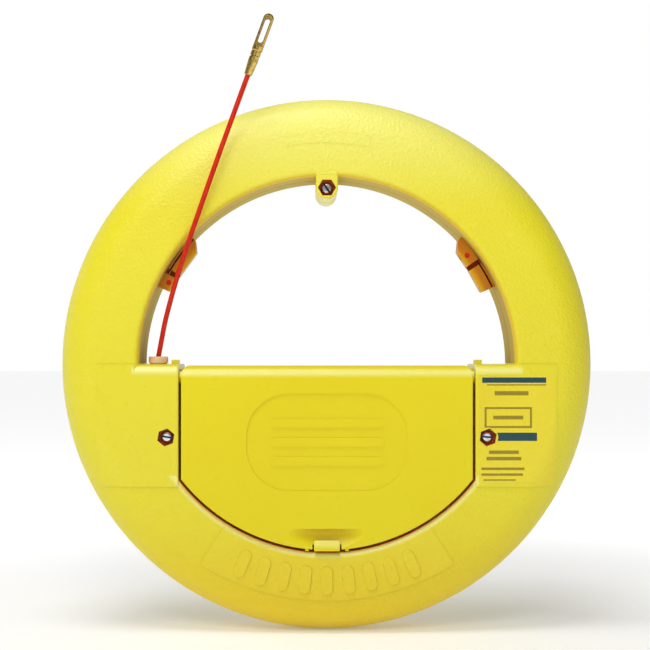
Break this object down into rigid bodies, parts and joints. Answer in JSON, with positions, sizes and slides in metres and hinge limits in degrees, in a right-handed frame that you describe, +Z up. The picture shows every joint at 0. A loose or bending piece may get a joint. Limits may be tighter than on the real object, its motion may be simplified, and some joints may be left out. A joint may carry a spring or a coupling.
{
  "type": "fish tape reel",
  "caption": "Ring-shaped reel case with a hand opening, a hinged storage compartment and a stiff fish rod that leaves through a guide and ends in a pulling eyelet.",
  "frame": {"origin": "centre of the ring, on the parting plane of the two case halves", "axes": "+X to the right seen from the front, +Y from the front to the back along the ring's axis, +Z up, towards the hand opening"},
  "size_m": [0.34, 0.0682, 0.3876],
  "materials": {
    "shell": "moulded, fine pebble grain on the ring, smooth on the panels",
    "door": "smooth moulded",
    "latch": "smooth moulded",
    "pin": "drawn",
    "screw": "zinc plated",
    "bushing": "moulded",
    "felt": "felt",
    "label": "printed film with plain bars",
    "rod": "coloured coat on glass fibre",
    "brass": "turned"
  },
  "bodies": {
    "case": {"front_shell": "shell", "back_shell": "shell", "hinge_pin_left": "pin", "hinge_pin_right": "pin", "case_screw_top": "screw", "case_screw_left": "screw", "case_screw_right": "screw", "case_nut_top": "screw", "case_nut_left": "screw", "case_nut_right": "screw", "exit_bushing": "bushing", "exit_wiper": "felt", "latch_base_left": "latch", "latch_base_right": "latch", "latch_pin_left": "rod", "latch_pin_right": "rod", "id_label": "label"},
    "door": {"compartment_door": "door"},
    "catch": {"door_catch": "door"},
    "latch_left": {"latch_lever_left": "latch"},
    "latch_right": {"latch_lever_right": "latch"},
    "coil": {"rod_coil": "rod", "rod_end_stop": "screw"},
    "rod": {"rod_tail": "rod", "rod_free": "rod", "tip_ferrule": "brass"},
    "eyelet": {"tip_eyelet": "brass"}
  },
  "joints": [
    {"name": "door_hinge", "type": "hinge", "parent": "case", "child": "door", "pos_m": [0, -0.0189, -0.0083], "axis": [-1, 0, 0], "range_deg": [0, 110]},
    {"name": "catch_flex", "type": "hinge", "parent": "door", "child": "catch", "pos_m": [0, -0.0164, -0.1148], "axis": [-1, 0, 0], "range_deg": [0, 5], "stiffness_Nm_per_rad": 0.1},
    {"name": "latch_left_turn", "type": "hinge", "parent": "case", "child": "latch_left", "pos_m": [-0.10068, 0, 0.05196], "axis": [0, 1, 0], "range_deg": [0, 50]},
    {"name": "latch_right_turn", "type": "hinge", "parent": "case", "child": "latch_right", "pos_m": [0.08965, 0, 0.06929], "axis": [0, 1, 0], "range_deg": [0, 50]},
    {"name": "coil_turn", "type": "hinge", "parent": "case", "child": "coil", "pos_m": [0, 0, 0], "axis": [0, 1, 0], "range_deg": [-4.5, 18]},
    {"name": "rod_slide", "type": "slide", "parent": "case", "child": "rod", "axis": [0.2012, -0.2367, 0.9505], "range_m": [-0.0135, 0.05]},
    {"name": "eyelet_turn", "type": "hinge", "parent": "rod", "child": "eyelet", "pos_m": [-0.0493, -0.0373, 0.1798], "axis": [0.3494, -0.047, 0.9358], "continuous": true}
  ],
  "couplings": [
    {"joint": "rod_slide", "follows": "coil_turn", "m_per_rad": 0.158}
  ]
}
